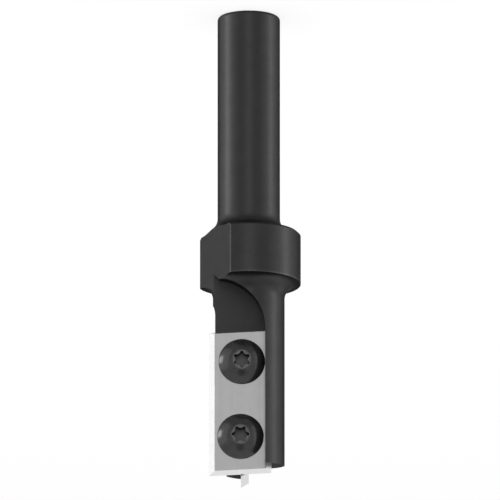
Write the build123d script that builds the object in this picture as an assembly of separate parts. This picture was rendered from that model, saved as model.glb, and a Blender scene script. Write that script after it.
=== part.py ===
from build123d import *
import math
import os

# Plunge grooving router bit with a reversible knife, in millimetres.
# Frame: the tool stands on the end of its shank. The origin is the centre of that end face,
# +Z runs up the tool axis to the cutting tip, and the knife is clamped on the -Y side.

# Shank and collar
shank_diameter = 12.0
shank_length = 43.1
shank_end_radius = 0.7
shank_root_radius = 3.0
collar_diameter = 20.0
collar_thickness = 10.0
collar_edge_chamfer = 0.5
collar_land = 0.1
collar_flat_clearance = 0.26
collar_flat_angle = -24.8
collar_flat_edge_radius = 0.6

# Cutter body, and the slope of its two end faces in degrees
body_diameter = 13.8
body_root_radius = 3.0
end_relief_wall_side = 9.3
end_relief_edge_side = 7.4

# Pocket in front of the knife seat
seat_offset = 2.4
pocket_wall_gap = 0.04
pocket_corner_radius = 10.0
pocket_reach_into_collar = 0.15
pocket_wall_lean = 7.0
pocket_nick_width = 1.1
pocket_nick_angle = 52.0

# Relief milled behind the seat, on the side of the cutting edge
relief_radius = 10.5
relief_back_angle = 51.5
relief_start = 4.0
relief_runout_radius = 3.0

# Reversible knife
knife_width = 12.0
knife_length = 28.5
knife_thickness = 1.5
knife_side_bevel = 1.05
knife_end_bevel = 0.6
knife_end_slope = 3.0
knife_side_reach = 7.63
knife_foot_height = 9.7
knife_overhang = 2.73
knife_hole_play = 0.6
knife_gap = 0.12

# Clamp screws, with a standard six-lobe socket
screw_pitch = 14.9
screw_line_lean = 1.0
screw_shift_sideways = -0.16
screw_shift_along = -0.4
screw_head_diameter = 8.95
screw_head_height = 1.85
screw_head_edge = 0.12
screw_crown_diameter = 3.7
screw_thread_diameter = 4.0
screw_length = 9.0
screw_point_chamfer = 0.5
screw_thread_gap = 0.05
socket_outer_diameter = 3.35
socket_inner_diameter = 2.4
socket_lobe_radius = 0.267
socket_depth = 1.5
socket_lobes = 6
collar_end_socket_turn = 0.0
tip_end_socket_turn = 30.0

# Plunge tip plate, brazed into a slot across the end of the body
tip_thickness = 1.5
tip_setback = 0.15
tip_lead = 0.13
tip_bevel_rise = 0.93
tip_fall_angle = 1.5
tip_screw_clearance = 0.65
tip_knife_gap = 0.1
braze_gap = 0.02

# Levels and radii worked out from the sizes above
collar_top = shank_length + collar_thickness
knife_foot = collar_top + knife_foot_height
knife_tip = knife_foot + knife_length + knife_width * math.tan(math.radians(knife_end_slope))
body_top = knife_tip - knife_overhang
tip_top = knife_tip + tip_lead
shank_radius = shank_diameter / 2
collar_radius = collar_diameter / 2
body_radius = body_diameter / 2
collar_flat_distance = body_radius + collar_flat_clearance
shank_root = min(shank_root_radius, collar_radius - collar_edge_chamfer - collar_land - shank_radius)
body_root = min(body_root_radius, collar_radius - collar_land - body_radius)
tip_outer_reach = body_radius - tip_setback
end_stock = body_radius
beyond = 3 * collar_diameter


def knife_side_plane(distance):
    """A plane across the knife side, a distance from the tool axis, with its x along X and its y up."""
    return Plane(origin=(0, -distance, 0), x_dir=(1, 0, 0), z_dir=(0, -1, 0))


def half_space(turn_about_x):
    """A large block whose underside passes through the origin and rises towards +Y by an angle."""
    block = Box(beyond, beyond, beyond, align=(Align.CENTER, Align.CENTER, Align.MIN))
    return Rot(turn_about_x, 0, 0) * block


def turned_blank():
    """Shank, collar and body as turned from one bar, with a fillet at each root of the collar."""
    shank_foot = (shank_radius + shank_root, shank_length)
    body_foot = (body_radius + body_root, collar_top)
    end_edge = (shank_radius - shank_end_radius, 0)
    bar_end = body_top + end_stock
    with BuildSketch(Plane.XZ) as profile:
        with BuildLine():
            Line((0, 0), end_edge)
            TangentArc(end_edge, (shank_radius, shank_end_radius), tangent=(1, 0))
            shank_side = Line((shank_radius, shank_end_radius),
                              (shank_radius, shank_length - shank_root))
            TangentArc(shank_side @ 1, shank_foot, tangent=(0, 1))
            collar_side = Polyline(shank_foot, (collar_radius - collar_edge_chamfer, shank_length),
                                   (collar_radius, shank_length + collar_edge_chamfer),
                                   (collar_radius, collar_top), body_foot)
            TangentArc(collar_side @ 1, (body_radius, collar_top + body_root), tangent=(-1, 0))
            Polyline((body_radius, collar_top + body_root), (body_radius, bar_end),
                     (0, bar_end), (0, 0))
        make_face()
    return revolve(profile.sketch, Axis.Z)


def with_collar_flat(blank):
    """The blank with a flat ground on its collar, clear of shank and body, its long edges rounded."""
    outward = Vector(1, 0, 0).rotate(Axis.Z, collar_flat_angle)
    flat = Plane(origin=outward * collar_flat_distance, z_dir=outward)
    blank = split(blank, bisect_by=flat, keep=Keep.BOTTOM)
    long_edges = blank.edges().filter_by(Axis.Z).filter_by(lambda edge: flat.contains(edge @ 0.5))
    return fillet(long_edges, collar_flat_edge_radius)


def end_cut():
    """What lies above the two end faces. They meet in the slot of the tip plate and slope opposite ways."""
    edge_side = Box(beyond, 2 * beyond, 2 * beyond, align=(Align.MIN, Align.CENTER, Align.CENTER))
    wall_side = Box(beyond, 2 * beyond, 2 * beyond, align=(Align.MAX, Align.CENTER, Align.CENTER))
    above_edge_side = half_space(end_relief_edge_side) & edge_side
    above_wall_side = half_space(-end_relief_wall_side) & wall_side
    return Pos(tip_thickness / 2, 0, body_top) * (above_edge_side + above_wall_side)


def pocket_wall():
    """X of the pocket's straight wall, which the screw heads just clear."""
    nearest_screw_x = min(x for x, z in screw_places())
    return nearest_screw_x - screw_head_diameter / 2 - pocket_wall_gap


def pocket_cut():
    """The open pocket in front of the seat, with one long round corner that just enters the collar."""
    wall = pocket_wall()
    corner_end = collar_top - pocket_reach_into_collar + pocket_corner_radius
    nick_x = wall + pocket_corner_radius - pocket_nick_width
    nick_z = corner_end - math.sqrt(pocket_corner_radius ** 2 - pocket_nick_width ** 2)
    open_x = nick_x + body_diameter
    open_z = nick_z - body_diameter * math.tan(math.radians(pocket_nick_angle))
    far_z = body_top + beyond
    with BuildSketch() as outline:
        with BuildLine():
            TangentArc((wall, corner_end), (nick_x, nick_z), tangent=(0, -1))
            Polyline((nick_x, nick_z), (open_x, open_z), (open_x, far_z), (wall, far_z),
                     (wall, corner_end))
        make_face()
    lean = math.radians(pocket_wall_lean)
    forward = (0, -math.cos(lean), math.sin(lean))
    return extrude(knife_side_plane(seat_offset) * outline.sketch, amount=collar_diameter, dir=forward)


def knife_corners(side_inset, end_inset):
    """Corners of the knife's outline, a parallelogram whose ends slope, inset for its bevels."""
    slope = math.tan(math.radians(knife_end_slope))
    low_x = knife_side_reach - knife_width + side_inset
    high_x = knife_side_reach - side_inset
    tip_at_low_x = knife_tip - (knife_side_reach - low_x) * slope
    tip_at_high_x = knife_tip - (knife_side_reach - high_x) * slope
    return [(low_x, tip_at_low_x - knife_length + end_inset),
            (high_x, tip_at_high_x - knife_length + end_inset),
            (high_x, tip_at_high_x - end_inset), (low_x, tip_at_low_x - end_inset)]


def undercut_for_idle_edge():
    """The dovetail groove under the pocket wall that keeps the knife's idle edge clear of the steel."""
    idle_x = knife_side_reach - knife_width - knife_gap
    wall = pocket_wall()
    depth = (wall - idle_x) * knife_thickness / knife_side_bevel
    foot = knife_foot - knife_gap
    with BuildSketch(Plane.XY.offset(foot)) as section:
        with BuildLine():
            Polyline((idle_x, -seat_offset), (wall, -seat_offset - depth),
                     (wall + knife_gap, -seat_offset - depth), (wall + knife_gap, -seat_offset),
                     close=True)
        make_face()
    return extrude(section.sketch, amount=body_top + end_stock - foot)


def relief_behind_seat():
    """A shallow hollow behind the seat, from the seat's edge round to the back, with a round run-out."""
    seat_edge = Vector(math.sqrt(body_radius ** 2 - seat_offset ** 2), -seat_offset, 0)
    back_edge = Vector(body_radius, 0, 0).rotate(Axis.Z, relief_back_angle)
    half_chord = (back_edge - seat_edge) * 0.5
    outward = half_chord.normalized().rotate(Axis.Z, -90)
    centre = seat_edge + half_chord + outward * math.sqrt(relief_radius ** 2 - half_chord.length ** 2)
    foot = collar_top + relief_start
    cutter_length = body_top + end_stock - foot
    cutter = Cylinder(relief_radius, cutter_length, align=(Align.CENTER, Align.CENTER, Align.MIN))
    cutter = fillet(cutter.edges().group_by(Axis.Z)[0], relief_runout_radius)
    return Pos(centre.X, centre.Y, foot) * cutter


def screw_places():
    """Where each screw axis meets the knife side: X, and Z up the tool, collar end first."""
    low_x, low_z = knife_corners(0, 0)[0]
    high_x, high_z = knife_corners(0, 0)[2]
    lean = math.radians(screw_line_lean)
    step_x = screw_pitch / 2 * math.sin(lean)
    step_z = screw_pitch / 2 * math.cos(lean)
    middle_x = (low_x + high_x) / 2 + screw_shift_sideways
    middle_z = (low_z + high_z) / 2 + screw_shift_along
    return [(middle_x - step_x, middle_z - step_z), (middle_x + step_x, middle_z + step_z)]


def tapped_holes():
    """The two holes tapped through the body from the seat to the back."""
    hole_radius = screw_thread_diameter / 2 + screw_thread_gap
    drill = Cylinder(hole_radius, body_diameter, align=(Align.CENTER, Align.CENTER, Align.MAX))
    drill += Cylinder(hole_radius, seat_offset, align=(Align.CENTER, Align.CENTER, Align.MIN))
    return [knife_side_plane(seat_offset) * Pos(x, z, 0) * drill for x, z in screw_places()]


def tip_foot():
    """Z of the tip plate's foot, which stays clear of the thread of the tip-end screw."""
    return max(z for x, z in screw_places()) + screw_thread_diameter / 2 + tip_screw_clearance


def tip_slot():
    """The slot in the end of the body that holds the tip plate, open at the seat and at the back."""
    slot_width = tip_thickness + 2 * braze_gap
    slot = Box(slot_width, beyond, beyond, align=(Align.CENTER, Align.MIN, Align.MIN))
    return Pos(tip_thickness / 2, -seat_offset, tip_foot() - braze_gap) * slot


def make_tool_body():
    """Shank, collar and cutter body, which are one piece of steel."""
    body = with_collar_flat(turned_blank())
    body -= end_cut()
    body -= pocket_cut()
    body -= undercut_for_idle_edge()
    body -= relief_behind_seat()
    body -= tip_slot()
    for hole in tapped_holes():
        body -= hole
    return body


def make_knife():
    """The carbide knife: its wide face lies on the seat, and four bevels lead to its narrow face."""
    corners = knife_corners(0, 0)
    narrow_corners = knife_corners(knife_side_bevel, knife_end_bevel)
    wide = knife_side_plane(seat_offset) * make_face(Polyline(*corners, close=True))
    narrow_plane = knife_side_plane(seat_offset + knife_thickness)
    narrow = narrow_plane * make_face(Polyline(*narrow_corners, close=True))
    knife = loft([wide, narrow], ruled=True)
    middle_x = (corners[0][0] + corners[2][0]) / 2
    middle_z = (corners[0][1] + corners[2][1]) / 2
    punch = Cylinder(screw_thread_diameter / 2 + knife_hole_play, 4 * knife_thickness)
    for side in (-1, 1):
        knife -= knife_side_plane(seat_offset) * Pos(middle_x, middle_z + side * screw_pitch / 2, 0) * punch
    return knife


def socket_outline():
    """A six-lobe outline, one lobe up the tool: round lobes, and round flutes that just touch them."""
    half_step = 180 / socket_lobes
    lobe_place = socket_outer_diameter / 2 - socket_lobe_radius
    inner = socket_inner_diameter / 2
    lean = math.cos(math.radians(half_step))
    flute_radius = ((socket_lobe_radius ** 2 - lobe_place ** 2 - inner ** 2 + 2 * lobe_place * inner * lean)
                    / (2 * (inner - lobe_place * lean - socket_lobe_radius)))
    lobe_centre = Vector(0, lobe_place)
    flute_centre = Vector(0, inner + flute_radius).rotate(Axis.Z, half_step)
    touch = lobe_centre + (flute_centre - lobe_centre).normalized() * socket_lobe_radius
    touch_before = Vector(-touch.X, touch.Y)
    with BuildSketch() as outline:
        with BuildLine():
            for lobe in range(socket_lobes):
                turn = 2 * half_step * lobe
                ThreePointArc(touch_before.rotate(Axis.Z, turn),
                              Vector(0, socket_outer_diameter / 2).rotate(Axis.Z, turn),
                              touch.rotate(Axis.Z, turn))
                ThreePointArc(touch.rotate(Axis.Z, turn),
                              Vector(0, inner).rotate(Axis.Z, turn + half_step),
                              touch_before.rotate(Axis.Z, turn + 2 * half_step))
        make_face()
    return outline.sketch


def make_screw():
    """A low screw, its head's underside at z = 0 and its thread drawn as a plain cylinder.

    The dome is part of a sphere through the head's edge and the edge of the flat crown.
    """
    head_radius = screw_head_diameter / 2
    crown_radius = screw_crown_diameter / 2
    thread_radius = screw_thread_diameter / 2
    rise = screw_head_height - screw_head_edge
    centre_below_edge = (head_radius ** 2 - crown_radius ** 2 - rise ** 2) / (2 * rise)
    sphere_radius = math.hypot(head_radius, centre_below_edge)
    middle = (head_radius + crown_radius) / 2
    middle_height = screw_head_edge - centre_below_edge + math.sqrt(sphere_radius ** 2 - middle ** 2)
    with BuildSketch(Plane.XZ) as profile:
        with BuildLine():
            ThreePointArc((head_radius, screw_head_edge), (middle, middle_height),
                          (crown_radius, screw_head_height))
            Polyline((crown_radius, screw_head_height), (0, screw_head_height), (0, -screw_length),
                     (thread_radius - screw_point_chamfer, -screw_length),
                     (thread_radius, screw_point_chamfer - screw_length), (thread_radius, 0),
                     (head_radius, 0), (head_radius, screw_head_edge))
        make_face()
    screw = revolve(profile.sketch, Axis.Z)
    socket_floor = screw_head_height - socket_depth
    socket = extrude(Pos(0, 0, socket_floor) * socket_outline(), amount=2 * socket_depth)
    return screw - socket


def make_tip_plate():
    """The carbide plate that plunges. Its top slopes across its thickness and falls towards the back."""
    inner = tip_knife_gap - seat_offset
    foot = tip_foot()
    plate = Box(tip_thickness, tip_outer_reach - inner, tip_top - foot, align=Align.MIN)
    top_normal = (-tip_bevel_rise / tip_thickness, math.tan(math.radians(tip_fall_angle)), 1)
    top_face = Plane(origin=(tip_thickness, inner, tip_top), z_dir=top_normal)
    return split(Pos(0, inner, foot) * plate, bisect_by=top_face, keep=Keep.BOTTOM)


def screw_in_place(place, socket_turn):
    """The screw with its head on the knife's narrow face, its socket turned from the tool's length."""
    x, z = place
    head_plane = knife_side_plane(seat_offset + knife_thickness)
    return head_plane * Pos(x, z, 0) * Rot(0, 0, socket_turn) * make_screw()


collar_end_place, tip_end_place = screw_places()
pieces = {
    "tool_body": make_tool_body(),
    "reversible_knife": make_knife(),
    "plunge_tip": make_tip_plate(),
    "collar_end_screw": screw_in_place(collar_end_place, collar_end_socket_turn),
    "tip_end_screw": screw_in_place(tip_end_place, tip_end_socket_turn),
}

os.makedirs("parts", exist_ok=True)
for name, piece in pieces.items():
    export_step(piece, f"parts/{name}.step")
    size = piece.bounding_box().size
    print(f"{name}: {piece.volume:.1f} mm3, {size.X:.2f} x {size.Y:.2f} x {size.Z:.2f} mm")
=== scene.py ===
# %% [markdown]
# # Plunge grooving router bit
# The real tool is one turned and milled steel body, blackened all over, with a bright carbide knife held by two
# screws and a small carbide plate across its end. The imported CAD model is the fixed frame: it holds each piece at
# its real size, in metres, standing on the end of its shank with the cutting tip up (+Z) and the knife on the -Y
# side. This script gives every piece its finish, and it swaps the plain screws for ones with real threads.

# %% Load the fixed frame
import math

import bmesh
import bpy
import numpy as np
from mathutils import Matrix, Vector


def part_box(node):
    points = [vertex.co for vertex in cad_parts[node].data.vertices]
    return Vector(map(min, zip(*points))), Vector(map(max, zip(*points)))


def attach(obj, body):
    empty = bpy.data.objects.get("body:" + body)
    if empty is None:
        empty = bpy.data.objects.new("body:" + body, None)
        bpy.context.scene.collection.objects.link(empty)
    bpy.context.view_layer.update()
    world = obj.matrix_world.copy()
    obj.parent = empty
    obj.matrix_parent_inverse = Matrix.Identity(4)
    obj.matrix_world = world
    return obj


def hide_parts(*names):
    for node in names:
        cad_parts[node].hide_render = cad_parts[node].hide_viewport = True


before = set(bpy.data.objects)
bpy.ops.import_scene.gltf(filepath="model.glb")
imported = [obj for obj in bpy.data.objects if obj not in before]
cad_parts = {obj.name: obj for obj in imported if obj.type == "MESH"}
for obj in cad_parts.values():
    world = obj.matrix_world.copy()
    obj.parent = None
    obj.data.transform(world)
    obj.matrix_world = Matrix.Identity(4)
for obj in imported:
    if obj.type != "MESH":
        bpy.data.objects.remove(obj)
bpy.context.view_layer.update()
print("nodes:", sorted(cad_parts))

# %% [markdown]
# ## Units and camera
# Lengths here are written in millimetres and turned into Blender's metres by one factor, because a tool this
# small is hard to read in metres. The photo is a straight, flat view with no perspective, so the camera is
# orthographic. It looks at the knife from 15 degrees above the floor, and it is rolled by half a turn, because the
# photo shows the tool with its shank up.

# %% Camera at the photo's viewing angle
MM = 0.001
photo_side = 500
pixels_per_mm = 5.2
camera_elevation = math.radians(15)
aim_point = Vector((-0.235, 0, 46.25)) * MM
camera_distance = 400 * MM


def way_from_tool(azimuth, elevation):
    """The direction from the tool's axis to a place. Azimuth 0 faces the knife and 90 its cutting edge."""
    return Vector((math.sin(azimuth) * math.cos(elevation), -math.cos(azimuth) * math.cos(elevation),
                   math.sin(elevation)))


camera_data = bpy.data.cameras.new("camera")
camera_data.type = "ORTHO"
camera_data.ortho_scale = photo_side / pixels_per_mm * MM
camera = bpy.data.objects.new("camera", camera_data)
camera.location = aim_point + way_from_tool(0, camera_elevation) * camera_distance
camera.rotation_euler = (camera_elevation - math.pi / 2, 0, math.pi)
bpy.context.scene.collection.objects.link(camera)
bpy.context.scene.camera = camera
bpy.context.scene.view_settings.view_transform = "Standard"
print("camera view:", round(camera_data.ortho_scale / MM, 2), "mm across")

# %% [markdown]
# ## The screws' sizes
# Each clamp screw is a low dome with a six-lobe socket and an ordinary metric thread. The frame says where each
# one sits and how large its head is. What the frame can't say is named here: the thread's pitch and the sizes
# of the socket. A primitive cylinder would give neither the thread nor the socket, and a boolean would leave long
# thin faces, so the whole screw is one surface of revolution on a grid, worked out with numpy. The thread's depth is
# the usual share of its pitch for a metric screw, and its flanks meet at 60 degrees.

# %% Sizes of the clamp screws
thread_diameter = 4.0 * MM
thread_pitch = 0.7 * MM
thread_depth = 0.613 * thread_pitch
flank_slope = math.sqrt(3)
thread_neck = 0.5 * MM
neck_radius = thread_diameter / 2 - thread_depth
point_chamfer = 0.5 * MM
head_edge = 0.12 * MM
corner_break = 0.05 * MM
crown_radius = 1.85 * MM
socket_outer_radius = 1.675 * MM
socket_inner_radius = 1.2 * MM
socket_lobe_radius = 0.267 * MM
socket_depth = 1.5 * MM
socket_break = 0.06 * MM
print("screw thread:", round(thread_diameter / MM, 1), "x", round(thread_pitch / MM, 1), "mm")

# %% How fine the screw's grid is
screw_columns = 192
dome_rows = 25
underside_rows = 6
around = np.linspace(0, 2 * np.pi, screw_columns + 1)
print("screw grid:", screw_columns, "columns of", round(360 / screw_columns, 3), "degrees")

# %% [markdown]
# ## The six-lobe socket
# The outline is round lobes joined by round flutes. Seen from the middle, each direction meets the outline once, so
# the outline can be written as a radius for each angle. That suits a screw made of rings, because the inner
# rings then just follow that radius.


# %% Radius of the socket's outline
def six_lobe_radius(angle, turn):
    """Radius of the socket's outline at an angle.

    The angle is folded to its distance from the nearest lobe. Near a lobe the radius is where the ray leaves the
    lobe's circle: the lobe's distance times the cosine, plus the root of the lobe's radius squared less the lobe's
    distance times the sine, squared. Further off it is where the ray enters the flute's circle, with the flute's
    distance and radius, and minus the root. A flute's radius is the one at which it just touches both lobes.
    """
    outer, inner, lobe = socket_outer_radius, socket_inner_radius, socket_lobe_radius
    lobe_place = outer - lobe
    half_step = math.pi / 6
    flute = ((lobe ** 2 - lobe_place ** 2 - inner ** 2 + 2 * lobe_place * inner * math.cos(half_step))
             / (2 * (inner - lobe_place * math.cos(half_step) - lobe)))
    flute_place = inner + flute
    touch_across = lobe * flute_place * math.sin(half_step) / (lobe + flute)
    touch_along = lobe_place + lobe * (flute_place * math.cos(half_step) - lobe_place) / (lobe + flute)
    fold = np.abs((angle - turn + half_step) % (2 * half_step) - half_step)
    on_lobe = lobe_place * np.cos(fold) + np.sqrt(
        np.maximum(lobe ** 2 - (lobe_place * np.sin(fold)) ** 2, 0))
    on_flute = flute_place * np.cos(half_step - fold) - np.sqrt(
        np.maximum(flute ** 2 - (flute_place * np.sin(half_step - fold)) ** 2, 0))
    return np.where(fold < math.atan2(touch_across, touch_along), on_lobe, on_flute)


outline = six_lobe_radius(around, 0)
print("socket outline radius:", round(outline.min() / MM, 2), "to", round(outline.max() / MM, 2), "mm")


# %% [markdown]
# ## Thread and head
# A thread is a groove wound round a rod. If the grid's rows were level rings, each crest would be a
# staircase, so the rows here climb with the thread, one pitch in each turn. After a whole turn a row meets the
# start of the row one pitch further on, and welding the seam closes the surface. The head is level rings on the
# same columns, so it needs no joint to the thread.


# %% Rows of the thread
def thread_rows(length):
    """Radius and height of the thread, rows by columns, from its point up to the plain neck under the head.

    Height is the row's own height plus the pitch times the turn's fraction, held between the point and the neck.
    Radius is the crest's radius less the groove's depth there: the distance from the crest's middle, less a
    sixteenth of the pitch, times the flanks' slope, held between zero and the full depth.
    Near the point and the neck a 45 degree cone limits it.
    """
    crest = thread_diameter / 2
    crest_half = thread_pitch / 16
    groove_start = crest_half + thread_depth / flank_slope
    turns = math.ceil(length / thread_pitch) + 2
    steps = np.array([-groove_start, -crest_half, crest_half, groove_start])
    own_height = (np.arange(turns)[:, None] * thread_pitch + steps).ravel() - length - thread_pitch
    wound = thread_pitch * around / (2 * np.pi)
    height = np.clip(own_height[:, None] + wound, -length, -thread_neck)
    place = (height + length - wound + thread_pitch / 2) % thread_pitch - thread_pitch / 2
    groove = np.clip((np.abs(place) - crest_half) * flank_slope, 0, thread_depth)
    radius = np.minimum(crest - groove, crest - point_chamfer + height + length)
    radius = np.minimum(radius, neck_radius + np.maximum(-thread_neck - height, 0))
    return radius, height


print("thread radius:", round(neck_radius / MM, 2), "to", round(thread_rows(thread_diameter)[0].max() / MM, 2), "mm")


# %% Rows of the head and its socket
def head_rows(head_radius, head_height, turn):
    """Radius and height of the head, rows by columns, and how far each row is rubbed and is in the socket.

    The rows run from the neck out to the rim and in to the socket's floor. The dome is a sphere through the rim
    and the crown's edge: its centre is as far below as makes both equally distant. The crown and the socket's
    floor are flat, and the corners and the socket's mouth have a small 45 degree break. A row of the dome is
    rubbed by the eighth power of its way from the dome's middle to its rim or its crown.
    """
    rim = np.array([head_radius, head_edge])
    crown = np.array([crown_radius, head_height])
    centre = ((rim ** 2).sum() - (crown ** 2).sum()) / (2 * (rim[1] - crown[1]))
    sphere = math.hypot(crown[0], crown[1] - centre)
    dome_radius = np.linspace(head_radius, crown_radius, dome_rows)
    dome_height = centre + np.sqrt(sphere ** 2 - dome_radius ** 2)
    dome_rub = np.abs(np.linspace(-1, 1, dome_rows)) ** 8
    underside = np.linspace(neck_radius + corner_break, head_radius - corner_break, underside_rows)
    socket = six_lobe_radius(around, turn)
    mouth = socket + socket_break
    floor = head_height - socket_depth
    rows = [(neck_radius, -thread_neck, 0, 0), (neck_radius, -corner_break, 0, 0)]
    rows += [(radius, 0, 0, 0) for radius in underside] + [(head_radius, corner_break, 0.6, 0)]
    rows += [(radius, height, rub, 0) for radius, height, rub in zip(dome_radius, dome_height, dome_rub)]
    rows += [((crown_radius + mouth) / 2, head_height, 0.3, 0), (mouth, head_height, 1.0, 0)]
    rows += [(socket, head_height - socket_break, 0.8, 0)]
    rows += [(socket, head_height - share * socket_depth, 0, 1) for share in (0.35, 0.7, 1.0)]
    rows += [(socket * share, floor, 0, 1) for share in (0.9, 0.5, 0.0)]
    radius, height, rubbed, in_socket = zip(*rows)
    level = np.ones_like(around)
    return (np.stack([value * level for value in radius]), np.stack([value * level for value in height]),
            np.array(rubbed, float), np.array(in_socket, float))


print("head rows:", len(head_rows(2 * crown_radius, socket_depth, 0)[0]))


# %% [markdown]
# ## From rows to a closed mesh
# The rows become points round the screw's axis. The first and last rows have no radius, and the last column lies
# on the first, so welding what coincides closes the poles and the seam. The print shows that no edge stays open
# and that the volume is positive, which means that the faces point outwards.


# %% Turn a grid of points into a closed mesh
weld_distance = 0.0002 * MM
sharp_angle = math.radians(28)


def mesh_from_grid(name, points, row_values):
    """A closed mesh object from points in rows and columns, with each square cell as one face.

    The row values are named attributes, one number for each row, which all vertices of that row carry.
    """
    rows, columns, _ = points.shape
    index = np.arange(rows * columns).reshape(rows, columns)
    cells = np.stack([index[:-1, :-1], index[:-1, 1:], index[1:, 1:], index[1:, :-1]], axis=-1).reshape(-1, 4)
    mesh = bpy.data.meshes.new(name)
    mesh.from_pydata(points.reshape(-1, 3).tolist(), [], cells.tolist())
    for key, values in row_values.items():
        mesh.attributes.new(key, "FLOAT", "POINT").data.foreach_set("value", np.repeat(values, columns))
    weld = bmesh.new()
    weld.from_mesh(mesh)
    bmesh.ops.remove_doubles(weld, verts=weld.verts, dist=weld_distance)
    open_edges = sum(edge.is_boundary for edge in weld.edges)
    volume = weld.calc_volume(signed=True) / MM ** 3
    weld.to_mesh(mesh)
    weld.free()
    mesh.shade_smooth()
    mesh.set_sharp_from_angle(angle=sharp_angle)
    piece = bpy.data.objects.new(name, mesh)
    bpy.context.scene.collection.objects.link(piece)
    print(f"{name}: {len(mesh.polygons)} faces, {open_edges} open edges, {volume:.1f} mm3")
    return piece


# %% Make both screws where the frame holds them
def threaded_screw(node, turn):
    """The screw that stands for a node: its axis runs along Y, and its head faces -Y.

    Across the axis a point is the radius times the sine and the cosine of its angle, and along the axis it is the
    knife's face less the height.
    """
    low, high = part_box(node)
    knife_low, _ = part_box("reversible_knife")
    head_radius = (high[0] - low[0]) / 2
    head_height = knife_low[1] - low[1]
    length = high[1] - knife_low[1]
    thread_radius, thread_height = thread_rows(length)
    top_radius, top_height, rubbed, in_socket = head_rows(head_radius, head_height, turn)
    point_radius = np.zeros((1, screw_columns + 1))
    radius = np.concatenate([point_radius, thread_radius, top_radius])
    height = np.concatenate([point_radius - length, thread_height, top_height])
    points = np.stack([(low[0] + high[0]) / 2 - radius * np.sin(around), knife_low[1] - height,
                       (low[2] + high[2]) / 2 + radius * np.cos(around)], axis=-1)
    thread_values = np.zeros(len(radius) - len(rubbed))
    screw = mesh_from_grid(node + "_threaded", points, {
        "rubbed": np.concatenate([thread_values, rubbed]), "in_socket": np.concatenate([thread_values, in_socket])})
    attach(screw, "root")
    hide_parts(node)
    return screw


socket_turns = {"collar_end_screw": 0, "tip_end_screw": math.radians(30)}
screws = [threaded_screw(node, turn) for node, turn in socket_turns.items()]

# %% [markdown]
# ## Soft studio light
# The photo shows soft bright streaks down the left and right of the round faces and a faint one in the middle. On
# a cylinder such a streak is the reflection of a lamp, so softboxes stand where the mirrored view meets them. Seen
# from 15 degrees above, upright steel mirrors what lies 15 degrees below level, so they stand below level too. On
# each side a small strong lamp makes the core of the streak, a wide weak panel makes the soft slope beside it, and
# a lamp further back lights the outer edge. The left small lamp is also the glint on the screw heads, and a lamp
# below the camera makes the faint streak in the middle. A wide softbox overhead lights the floor and whatever is
# matt. It is hidden from mirror reflections, because the metal sees the studio's bright ceiling there instead.

# %% Softboxes
lamp_distance = 500 * MM
power_per_radiance = 4
softboxes = {
    "left": dict(azimuth=86, elevation=-16, width=150, height=160, radiance=2.9),
    "left_panel": dict(azimuth=72, elevation=-18, width=380, height=640, radiance=0.32),
    "right": dict(azimuth=-90, elevation=-16, width=150, height=160, radiance=2.0),
    "right_panel": dict(azimuth=-72, elevation=-10, width=380, height=640, radiance=0.26),
    "front": dict(azimuth=0, elevation=-15, width=140, height=500, radiance=0.52),
    "left_rear": dict(azimuth=122, elevation=-12, width=240, height=500, radiance=0.8),
    "right_rear": dict(azimuth=-122, elevation=-12, width=240, height=500, radiance=0.5),
    "overhead": dict(azimuth=0, elevation=89, width=600, height=600, radiance=1.7, mirrored=False),
}


def softbox(name, azimuth, elevation, width, height, radiance, mirrored=True):
    """A soft lamp that faces the tool. Its power is the radiance times four times its area."""
    way = way_from_tool(math.radians(azimuth), math.radians(elevation))
    lamp = bpy.data.lights.new(name, "AREA")
    lamp.shape = "RECTANGLE"
    lamp.size = width * MM
    lamp.size_y = height * MM
    lamp.energy = radiance * power_per_radiance * lamp.size * lamp.size_y
    box = bpy.data.objects.new(name, lamp)
    box.location = aim_point + way * lamp_distance
    box.rotation_euler = way.to_track_quat("Z", "Y").to_euler()
    box.visible_camera = False
    box.visible_glossy = mirrored
    bpy.context.scene.collection.objects.link(box)


for name, values in softboxes.items():
    softbox(name, **values)
print("softboxes:", ", ".join(softboxes))

# %% [markdown]
# ## Short helpers for nodes
# Node trees get long when every socket is linked by hand. One helper adds a node and fills its sockets by name,
# with a number where it is fixed and with another node's output where it varies. The others are the nodes that
# this script needs again and again, each with a name that says what it works out.


# %% Node helpers
def new_node(tree, kind, sockets=None, **settings):
    """A node of one kind, its settings, and its sockets by name, each a value or another node's output."""
    node = tree.nodes.new(kind)
    for key, value in settings.items():
        setattr(node, key, value)
    for key, value in (sockets or {}).items():
        if isinstance(value, bpy.types.NodeSocket):
            tree.links.new(value, node.inputs[key])
        else:
            node.inputs[key].default_value = value
    return node


def calculate(tree, operation, *values):
    """The output of one Math node, such as MULTIPLY, for values or other nodes' outputs."""
    return new_node(tree, "ShaderNodeMath", dict(enumerate(values)), operation=operation).outputs[0]


def measure(tree, operation, *vectors):
    """The number that one Vector Math node makes of vectors, such as their DOT_PRODUCT."""
    return new_node(tree, "ShaderNodeVectorMath", dict(enumerate(vectors)), operation=operation).outputs["Value"]


def xyz(tree, vector):
    """The three numbers of a vector, named X, Y and Z."""
    return new_node(tree, "ShaderNodeSeparateXYZ", {0: vector}).outputs


def ramp(tree, value, start, end, low=0.0, high=1.0, shape="LINEAR"):
    """A number that goes from low, where the value is at the start, to high, where it is at the end."""
    return new_node(tree, "ShaderNodeMapRange", {"Value": value, "From Min": start, "From Max": end, "To Min": low,
                                                 "To Max": high}, interpolation_type=shape).outputs[0]


print("node helpers: new_node, calculate, measure, xyz, ramp")


# %% Helpers for colours
def grey(level):
    """One grey as a colour with alpha."""
    return (level, level, level, 1)


def mix_colours(tree, share, first, second):
    """The first colour where the share is 0 and the second where it is 1."""
    return new_node(tree, "ShaderNodeMix", {"Factor": share, "A": first, "B": second},
                    data_type="RGBA").outputs["Result"]


print("colour helpers: grey, mix_colours")

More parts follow.
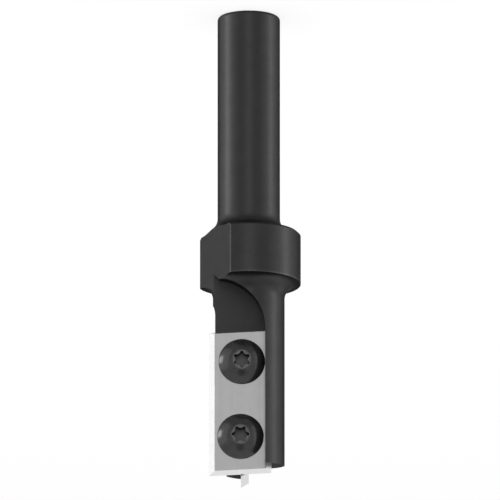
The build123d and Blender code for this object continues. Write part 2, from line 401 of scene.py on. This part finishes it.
# %% [markdown]
# ## The studio around the tool
# Polished metal has little colour of its own: it shows what stands around it. Behind the tool the studio is as white
# as the photo's background, and towards the camera it is a dim room. Both get darker below the table, apart from
# a brighter band low behind the tool, which lightens the collar's edge and the knife's bevels. Dark flags, which
# photographers hang up to deepen a metal's black, stand in it too: two behind the tool, which its end faces
# mirror, and one over the camera, which the screw heads show as a faint shade below their sockets. The camera
# itself sees plain white, and matt faces get an even grey fill. Light Path tells these rays apart.

# %% Brightness by height
room_by_height = {-1.0: 0.26, -0.9: 0.26, -0.35: 0.42, 0.3: 0.46, 0.95: 0.5}
backdrop_by_height = {-1.0: 0.26, -0.9: 0.26, -0.55: 0.7, -0.4: 0.7, -0.24: 0.46, 0.1: 0.95, 0.95: 1.0}


def as_share(height):
    """A height from -1 to 1 as a share from 0 to 1."""
    return (height + 1) / 2


def brightness_by_height(tree, share, levels):
    """The colour of a smooth gradient whose stops are given by height, from -1 straight down to 1 straight up."""
    gradient = new_node(tree, "ShaderNodeValToRGB", {0: share})
    gradient.color_ramp.interpolation = "EASE"
    stops = gradient.color_ramp.elements
    for height in list(levels)[1:-1]:
        stops.new(as_share(height))
    for stop, (height, level) in zip(stops, levels.items()):
        stop.position = as_share(height)
        stop.color = grey(level)
    return gradient.outputs["Color"]


print("studio heights:", len(room_by_height), "in the room and", len(backdrop_by_height), "in the backdrop")

# %% Dark flags
flags = {"over the camera": dict(azimuth=0, elevation=36, inner=9, outer=18, dimming=0.65),
         "high behind the tool": dict(azimuth=180, elevation=25, inner=15, outer=20, dimming=0.95),
         "low behind the tool": dict(azimuth=174, elevation=-6, inner=11, outer=18, dimming=0.95)}


def dimmed_by_flag(tree, direction, colour, azimuth, elevation, inner, outer, dimming):
    """The colour dimmed round one direction: fully within the inner angle, not at all past the outer one."""
    way = way_from_tool(math.radians(azimuth), math.radians(elevation))
    shade = ramp(tree, measure(tree, "DOT_PRODUCT", direction, way), math.cos(math.radians(outer)),
                 math.cos(math.radians(inner)), high=dimming)
    return mix_colours(tree, shade, colour, grey(0))


print("flags:", ", ".join(flags))

# %% World
backdrop_from, backdrop_to = -0.1, 0.5
matt_fill = 0.6
world = bpy.data.worlds.new("studio")
bpy.context.scene.world = world
world.use_nodes = True
tree = world.node_tree
direction = new_node(tree, "ShaderNodeTexCoord").outputs["Generated"]
parts = xyz(tree, direction)
share = calculate(tree, "MULTIPLY_ADD", parts["Z"], 0.5, 0.5)
behind = ramp(tree, parts["Y"], backdrop_from, backdrop_to, shape="SMOOTHSTEP")
studio = mix_colours(tree, behind, brightness_by_height(tree, share, room_by_height),
                     brightness_by_height(tree, share, backdrop_by_height))
for flag in flags.values():
    studio = dimmed_by_flag(tree, direction, studio, **flag)
ray = new_node(tree, "ShaderNodeLightPath").outputs
mirror_ray = calculate(tree, "MAXIMUM", ray["Is Glossy Ray"], ray["Is Transmission Ray"])
matt_or_mirror = mix_colours(tree, mirror_ray, grey(matt_fill), studio)
seen = mix_colours(tree, ray["Is Camera Ray"], matt_or_mirror, grey(1))
tree.links.new(seen, tree.nodes["Background"].inputs["Color"])
print("world:", len(tree.nodes), "nodes")

# %% [markdown]
# ## The floor
# The floor is a wide pale plane under the shank's end. The photo's ground is pure white, so the floor glows a
# little for the camera alone, and the rest of its brightness is lit, which keeps the tool's soft shadow. The lamps
# that stand partly below the floor shine through it, as they would through a lit glass table, and the metal
# mirrors the studio instead of the plane.

# %% Floor plane
floor_width = 8
reach = floor_width / 2
floor_mesh = bpy.data.meshes.new("floor")
floor_mesh.from_pydata([(-reach, -reach, 0), (reach, -reach, 0), (reach, reach, 0), (-reach, reach, 0)], [],
                       [(0, 1, 2, 3)])
floor = bpy.data.objects.new("floor", floor_mesh)
bpy.context.scene.collection.objects.link(floor)
floor.visible_glossy = False
floor.visible_shadow = False
print("floor:", floor_width, "m wide")

# %% The floor's own light
floor_glow = 0.8
floor_white = 0.95
lit_table = bpy.data.materials.new("lit_table")
lit_table.use_nodes = True
tree = lit_table.node_tree
matt = tree.nodes["Principled BSDF"]
matt.inputs["Base Color"].default_value = grey(floor_white)
matt.inputs["Roughness"].default_value = 1
matt.inputs["Specular IOR Level"].default_value = 0
glow = new_node(tree, "ShaderNodeEmission")
camera_ray = new_node(tree, "ShaderNodeLightPath").outputs["Is Camera Ray"]
blend = new_node(tree, "ShaderNodeMixShader", {0: calculate(tree, "MULTIPLY", camera_ray, floor_glow),
                                               1: matt.outputs[0], 2: glow.outputs[0]})
tree.links.new(blend.outputs[0], tree.nodes["Material Output"].inputs["Surface"])
floor_mesh.materials.append(lit_table)
print("floor glow for the camera:", floor_glow)

# %% [markdown]
# ## Effects that several finishes share
# Every surface of this tool has been cut, ground or blackened, and each of these leaves its own trace. The traces
# are node groups with named sockets, built once and placed in each finish with that finish's own values. They all
# work on the place on the piece in millimetres, so a mark has its real size. Blender's Bevel and Pointiness nodes
# could find worn edges by themselves, but they depend on the mesh or on many extra rays. The sizes of the real edges
# are known here, so the wear is worked out from the distance to them.


# %% Tool marks: fine uneven lines left by turning, milling or grinding
def new_group(name, inputs, outputs):
    """An empty shader node group with named sockets, and the two nodes that carry them."""
    group = bpy.data.node_groups.new(name, "ShaderNodeTree")
    for socket, kind in inputs.items():
        group.interface.new_socket(socket, in_out="INPUT", socket_type="NodeSocket" + kind)
    for socket, kind in outputs.items():
        group.interface.new_socket(socket, in_out="OUTPUT", socket_type="NodeSocket" + kind)
    return group, group.nodes.new("NodeGroupInput").outputs, group.nodes.new("NodeGroupOutput").inputs


tool_marks, given, result = new_group("tool_marks", {"Place": "Vector", "Lines per mm": "Vector"},
                                      {"Height": "Float"})
scaled = new_node(tool_marks, "ShaderNodeVectorMath", {0: given["Place"], 1: given["Lines per mm"]},
                  operation="MULTIPLY")
lines = new_node(tool_marks, "ShaderNodeTexNoise", {"Vector": scaled.outputs[0], "Scale": 1.0, "Detail": 3.0,
                                                    "Roughness": 0.65})
tool_marks.links.new(lines.outputs[0], result["Height"])
print("group:", tool_marks.name)

# %% Mottling: the slightly cloudy tone of a blackened or sintered surface, from -1 to 1
mottling, given, result = new_group("mottling", {"Place": "Vector", "Size": "Float"}, {"Tone": "Float"})
clouds = new_node(mottling, "ShaderNodeTexNoise",
                  {"Vector": given["Place"], "Scale": calculate(mottling, "DIVIDE", 1.0, given["Size"]),
                   "Detail": 4.0, "Roughness": 0.6})
mottling.links.new(ramp(mottling, clouds.outputs[0], 0.3, 0.7, low=-1.0), result["Tone"])
print("group:", mottling.name)

# %% Edge wear: how far the finish is rubbed off near an edge, broken up into uneven patches
edge_wear, given, result = new_group("edge_wear", {"Place": "Vector", "Distance": "Float", "Width": "Float"},
                                     {"Wear": "Float"})
near = calculate(edge_wear, "SUBTRACT", 1.0, calculate(edge_wear, "DIVIDE", given["Distance"], given["Width"]))
patches = new_node(edge_wear, "ShaderNodeTexNoise", {"Vector": given["Place"], "Scale": 2.5, "Detail": 3.0})
uneven = ramp(edge_wear, patches.outputs[0], 0.35, 0.65, low=0.3)
worn = calculate(edge_wear, "MULTIPLY", calculate(edge_wear, "MAXIMUM", near, 0.0), uneven)
edge_wear.links.new(worn, result["Wear"])
print("group:", edge_wear.name)

# %% [markdown]
# ## How a finish is put together
# All the finishes here are metal, so they start alike, and each adds its own traces. Their shades, roughness and
# metal are a plain level plus changes where a mask says so, and the cloudy tone multiplies the shade, so that it
# stays in step with how light the surface is.


# %% Finish helpers
def metal_finish(name, edge_tint):
    """A metal material, its node tree, its shader and the place on the piece in millimetres.

    The edge tint lowers the reflection of surfaces seen at a flat angle. It is the same all over, so it is
    written on the shader's own socket.
    """
    material = bpy.data.materials.new(name)
    material.use_nodes = True
    tree = material.node_tree
    shader = tree.nodes["Principled BSDF"]
    shader.inputs["Metallic"].default_value = 1
    shader.inputs["Specular Tint"].default_value = grey(edge_tint)
    place = new_node(tree, "ShaderNodeVectorMath",
                     {0: new_node(tree, "ShaderNodeTexCoord").outputs["Object"], "Scale": 1 / MM}, operation="SCALE")
    return material, tree, shader, place.outputs[0]


def surface_normal(tree):
    """The direction that the surface faces."""
    return new_node(tree, "ShaderNodeNewGeometry").outputs["Normal"]


def use_group(tree, group, **values):
    """The first output of a group placed in a tree. Underscores in the names stand for spaces."""
    sockets = {key.replace("_", " "): value for key, value in values.items()}
    return new_node(tree, "ShaderNodeGroup", sockets, node_tree=group).outputs[0]


def changed(tree, level, change, where):
    """The level plus the change times a mask, so plus the whole change where the mask is 1."""
    return calculate(tree, "MULTIPLY_ADD", where, change, level)


def clouded(tree, level, place, size, strength):
    """The level times one plus the mottling's tone times the strength. The size of the clouds is in millimetres."""
    cloud = use_group(tree, mottling, Place=place, Size=size)
    return calculate(tree, "MULTIPLY", level, changed(tree, 1.0, strength, cloud))


def engrave(tree, shader, height, depth):
    """Lets a height from 0 to 1 bend the light as relief of a real depth in metres."""
    bump = new_node(tree, "ShaderNodeBump", {"Height": height, "Distance": depth, "Strength": 1.0})
    tree.links.new(bump.outputs[0], shader.inputs["Normal"])


print("finish helpers: metal_finish, surface_normal, use_group, changed, clouded, engrave")

# %% [markdown]
# ## Blackened steel
# The body is turned from one bar, milled for the knife and ground flat on its collar, then blackened. So the round
# faces have fine rings across the axis, the seat has straight milling lines, the flat has grinding lines, and over
# all of it lies the slightly cloudy black. Which lines a face has is told by its place: the seat and the flat lie in
# known planes. On the rings of the shank's end and the collar the black is a little rubbed. The seat and the relieved
# end faces get a deeper and less metallic black than the round faces. That deeper black is painted shade, for the
# shade in the knife's pocket and on the end faces.

# %% Sizes on the body that the finish follows, in millimetres
seat_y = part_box("reversible_knife")[1][1] / MM
flat_turn = math.radians(-24.8)
flat_way = (math.cos(flat_turn), math.sin(flat_turn), 0)
flat_distance = 7.16
plane_tolerance = 0.01
end_faces_height = 4
end_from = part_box("tool_body")[1][2] / MM - end_faces_height
ring_edges = {"shank end": (5.85, 0.15), "collar, shank side": (9.75, 43.35), "collar, knife side": (10.0, 53.1)}
print("knife seat at y", round(seat_y, 2), "mm; ring edges:", ", ".join(ring_edges))

# %% Which face a place on the body belongs to
blackened_tint = 0.35
facing_up = 0.9
steel, tree, shader, place = metal_finish("blackened_steel", blackened_tint)
parts = xyz(tree, place)
on_flat = calculate(tree, "COMPARE", measure(tree, "DOT_PRODUCT", place, flat_way), flat_distance, plane_tolerance)
on_seat = calculate(tree, "COMPARE", parts["Y"], seat_y, plane_tolerance)
on_end = calculate(tree, "MULTIPLY", calculate(tree, "GREATER_THAN", xyz(tree, surface_normal(tree))["Z"], facing_up),
                   calculate(tree, "GREATER_THAN", parts["Z"], end_from))
print("faces told apart: flat, seat and end faces from z", round(end_from, 2), "mm")

# %% Rings, milling lines and grinding lines
ring_lines = (0.02, 0.02, 5.0)
milling_lines = (3.0, 0.02, 0.05)
grinding_lines = (0.1, 0.1, 7.0)
rings = use_group(tree, tool_marks, Place=place, Lines_per_mm=ring_lines)
milled = use_group(tree, tool_marks, Place=place, Lines_per_mm=milling_lines)
ground = use_group(tree, tool_marks, Place=place, Lines_per_mm=grinding_lines)
marks = new_node(tree, "ShaderNodeMix", {"Factor": on_seat, "A": rings, "B": milled}).outputs["Result"]
marks = new_node(tree, "ShaderNodeMix", {"Factor": on_flat, "A": marks, "B": ground}).outputs["Result"]
print("lines per mm: rings", ring_lines[2], "milling", milling_lines[0], "grinding", grinding_lines[2])

# %% Wear on the ring edges
ring_wear_width = 0.45
across = new_node(tree, "ShaderNodeCombineXYZ", {"X": parts["X"], "Y": parts["Y"]}).outputs[0]
from_axis = measure(tree, "LENGTH", across)
distance = None
for ring_radius, ring_height in ring_edges.values():
    to_ring = new_node(tree, "ShaderNodeCombineXYZ", {"X": calculate(tree, "SUBTRACT", from_axis, ring_radius),
                                                      "Y": calculate(tree, "SUBTRACT", parts["Z"], ring_height)})
    from_ring = measure(tree, "LENGTH", to_ring.outputs[0])
    distance = from_ring if distance is None else calculate(tree, "MINIMUM", distance, from_ring)
worn = use_group(tree, edge_wear, Place=place, Distance=distance, Width=ring_wear_width)
print("wear within", ring_wear_width, "mm of", len(ring_edges), "ring edges")

# %% Blackened steel
# The darker black on the seat and the end faces is painted shade: a darker base colour for the shade in the knife's
# pocket and on the end faces.
body_black, seat_painted_shade, end_painted_shade, worn_lighter = 0.07, 0.022, 0.05, 0.06
body_roughness, seat_rougher, marks_rougher = 0.34, 0.15, 0.12
dull_share = 0.7
body_cloud_size, body_cloud_strength = 3.0, 0.06
body_mark_depth = 0.005 * MM
black = changed(tree, changed(tree, body_black, -seat_painted_shade, on_seat), -end_painted_shade, on_end)
tinted = clouded(tree, black, place, body_cloud_size, body_cloud_strength)
tree.links.new(changed(tree, tinted, worn_lighter, worn), shader.inputs["Base Color"])
rough = changed(tree, body_roughness, seat_rougher, on_seat)
tree.links.new(changed(tree, rough, marks_rougher, marks), shader.inputs["Roughness"])
dull = calculate(tree, "MAXIMUM", on_seat, on_end)
tree.links.new(changed(tree, 1.0, -dull_share, dull), shader.inputs["Metallic"])
engrave(tree, shader, marks, body_mark_depth)
print("blackened steel:", len(tree.nodes), "nodes")

# %% [markdown]
# ## Ground carbide
# Knife and plate are cemented carbide, which stays bright. The wide faces are ground along their length with a fine
# wheel, and the bevels that make the edges are ground once more with a finer one, so they are smoother. Their
# colour is also lighter than the wide faces': that is a painted highlight, for the light the bevels catch. A face's
# own direction tells a bevel from a wide face.

# %% Levels that knife and plate share
carbide_tint = 0.9
wide_roughness, bevel_roughness, grinding_rougher = 0.3, 0.22, 0.14
carbide_cloud_size, carbide_cloud_strength = 2.5, 0.03
grinding_depth = 0.002 * MM
print("carbide roughness:", wide_roughness, "on wide faces,", bevel_roughness, "on bevels")


# %% Carbide for the knife and the plate
def carbide(name, wide_level, bevel_level_with_painted_highlight, way, bevel_from, bevel_to, lines):
    """Ground carbide. How far a face looks along a way tells, from one share to another, how far it is a bevel, whose
    lighter colour is a painted highlight.
    """
    material, tree, shader, place = metal_finish(name, carbide_tint)
    facing = calculate(tree, "ABSOLUTE", measure(tree, "DOT_PRODUCT", surface_normal(tree), way))
    bevel = ramp(tree, facing, bevel_from, bevel_to)
    marks = use_group(tree, tool_marks, Place=place, Lines_per_mm=lines)
    # On the bevels the colour is lighter than on the wide faces: a painted highlight.
    level = ramp(tree, bevel, 0.0, 1.0, wide_level, bevel_level_with_painted_highlight)
    tree.links.new(clouded(tree, level, place, carbide_cloud_size, carbide_cloud_strength),
                   shader.inputs["Base Color"])
    rough = ramp(tree, bevel, 0.0, 1.0, wide_roughness, bevel_roughness)
    tree.links.new(changed(tree, rough, grinding_rougher, marks), shader.inputs["Roughness"])
    engrave(tree, shader, marks, grinding_depth)
    print(name + ":", len(tree.nodes), "nodes")
    return material


knife_carbide = carbide("ground_carbide", wide_level=0.55, bevel_level_with_painted_highlight=0.8, way=(0, 1, 0), bevel_from=0.99,
                        bevel_to=0.96, lines=(4.0, 0.1, 0.05))
tip_carbide = carbide("tip_carbide", wide_level=0.5, bevel_level_with_painted_highlight=0.9, way=(0, 0, 1), bevel_from=0.4,
                      bevel_to=0.7, lines=(0.1, 0.2, 4.0))

# %% [markdown]
# ## Screw steel
# The screws are blackened too, but smoother than the body. The driver and the thumb rub their rim, the edge of their
# flat crown and the mouth of their socket, so there the black is thinner. Those edges are rows of the screw's own
# grid, so each vertex already carries its wear as an attribute. The socket's floor is left as the punch made it,
# which is paler and duller.

# %% Where the screws are rubbed and where their socket's floor is
facing_out = -0.8
screw_steel, tree, shader, place = metal_finish("screw_steel", blackened_tint)
rubbed = new_node(tree, "ShaderNodeAttribute", attribute_name="rubbed").outputs["Fac"]
in_socket = new_node(tree, "ShaderNodeAttribute", attribute_name="in_socket").outputs["Fac"]
worn = use_group(tree, edge_wear, Place=place, Distance=calculate(tree, "SUBTRACT", 1.0, rubbed), Width=1.0)
on_floor = calculate(tree, "MULTIPLY", in_socket,
                     calculate(tree, "LESS_THAN", xyz(tree, surface_normal(tree))["Y"], facing_out))
print("screw masks: rubbed edges and socket floor")

# %% Screw steel
screw_black, floor_lighter, rubbed_lighter = 0.09, 0.025, 0.03
screw_roughness, floor_rougher = 0.2, 0.2
screw_metal, floor_duller = 0.88, 0.5
screw_cloud_size, screw_cloud_strength = 1.2, 0.1
grain_per_mm = (6.0, 6.0, 6.0)
grain_depth = 0.0012 * MM
tinted = clouded(tree, changed(tree, screw_black, floor_lighter, on_floor), place, screw_cloud_size,
                 screw_cloud_strength)
tree.links.new(changed(tree, tinted, rubbed_lighter, worn), shader.inputs["Base Color"])
tree.links.new(changed(tree, screw_roughness, floor_rougher, on_floor), shader.inputs["Roughness"])
tree.links.new(changed(tree, screw_metal, -floor_duller, on_floor), shader.inputs["Metallic"])
engrave(tree, shader, use_group(tree, tool_marks, Place=place, Lines_per_mm=grain_per_mm), grain_depth)
print("screw steel:", len(tree.nodes), "nodes")

# %% [markdown]
# ## The finishes go on
# A real finish is part of each piece. A material could be given face by face, but then the CAD meshes would need
# their faces picked out, and they are loose triangles. So each piece has one material on its whole mesh, and what
# changes over the piece is worked out inside that material.

# %% Give each piece its finish
finishes = {"tool_body": steel, "reversible_knife": knife_carbide, "plunge_tip": tip_carbide}
for node, finish in finishes.items():
    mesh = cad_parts[node].data
    mesh.materials.clear()
    mesh.materials.append(finish)
for screw in screws:
    screw.data.materials.append(screw_steel)
print("finished:", ", ".join(finishes), "and", len(screws), "screws")
